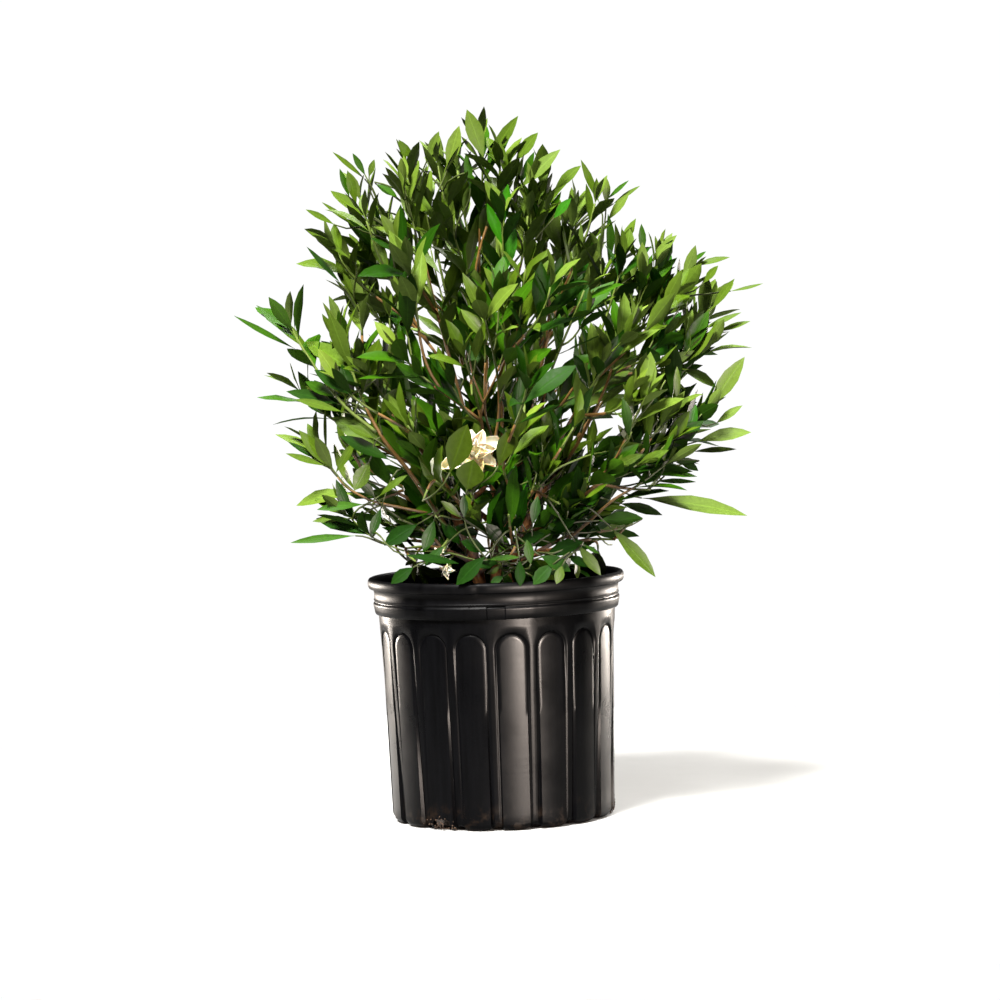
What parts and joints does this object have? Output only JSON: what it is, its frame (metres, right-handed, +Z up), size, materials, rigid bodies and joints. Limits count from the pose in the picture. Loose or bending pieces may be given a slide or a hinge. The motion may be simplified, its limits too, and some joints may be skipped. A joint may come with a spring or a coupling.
{
  "type": "potted shrub",
  "caption": "Gardenia shrub with narrow glossy leaves on branching woody stems, full from all sides, standing in a round black nursery pot with arch-topped fluted sides.",
  "frame": {"origin": "centre of the pot's flat underside, on the ground", "axes": "+Z up along the pot's axis, -Y towards the side seen in the picture, +X to the viewer's right"},
  "size_m": [0.4716, 0.4636, 0.6362],
  "materials": {
    "pot_plastic": "satin black moulded plastic",
    "potting_mix": "dark moist bark potting mix",
    "bark": "orange-brown young bark",
    "foliage": "glossy leaf green"
  },
  "bodies": {
    "root": {"bough_crown_back_left": "bark", "bough_crown_back_right": "bark", "bough_crown_front": "bark", "bough_crown_left": "bark", "bough_crown_right": "bark", "bough_low_back": "bark", "bough_low_front": "bark", "bough_low_left_back": "bark", "bough_low_left_front": "bark", "bough_low_right_back": "bark", "bough_low_right_front": "bark", "bough_middle_back_left": "bark", "bough_middle_back_right": "bark", "bough_middle_front_left": "bark", "bough_middle_front_right": "bark", "bough_middle_left_back": "bark", "bough_middle_left_front": "bark", "bough_middle_right_back": "bark", "bough_middle_right_front": "bark", "bough_upper_back": "bark", "bough_upper_front": "bark", "bough_upper_left_back": "bark", "bough_upper_left_front": "bark", "bough_upper_right_back": "bark", "bough_upper_right_front": "bark", "foliage_crown_back_left": "foliage", "foliage_crown_back_right": "foliage", "foliage_crown_front": "foliage", "foliage_crown_left": "foliage", "foliage_crown_right": "foliage", "foliage_low_back": "foliage", "foliage_low_front": "foliage", "foliage_low_left_back": "foliage", "foliage_low_left_front": "foliage", "foliage_low_right_back": "foliage", "foliage_low_right_front": "foliage", "foliage_middle_back_left": "foliage", "foliage_middle_back_right": "foliage", "foliage_middle_front_left": "foliage", "foliage_middle_front_right": "foliage", "foliage_middle_left_back": "foliage", "foliage_middle_left_front": "foliage", "foliage_middle_right_back": "foliage", "foliage_middle_right_front": "foliage", "foliage_upper_back": "foliage", "foliage_upper_front": "foliage", "foliage_upper_left_back": "foliage", "foliage_upper_left_front": "foliage", "foliage_upper_right_back": "foliage", "foliage_upper_right_front": "foliage", "pot": "pot_plastic", "potting_mix": "potting_mix", "stem_back_left": "bark", "stem_back_right": "bark", "stem_centre": "bark", "stem_front_left": "bark", "stem_front_right": "bark"}
  },
  "joints": []
}
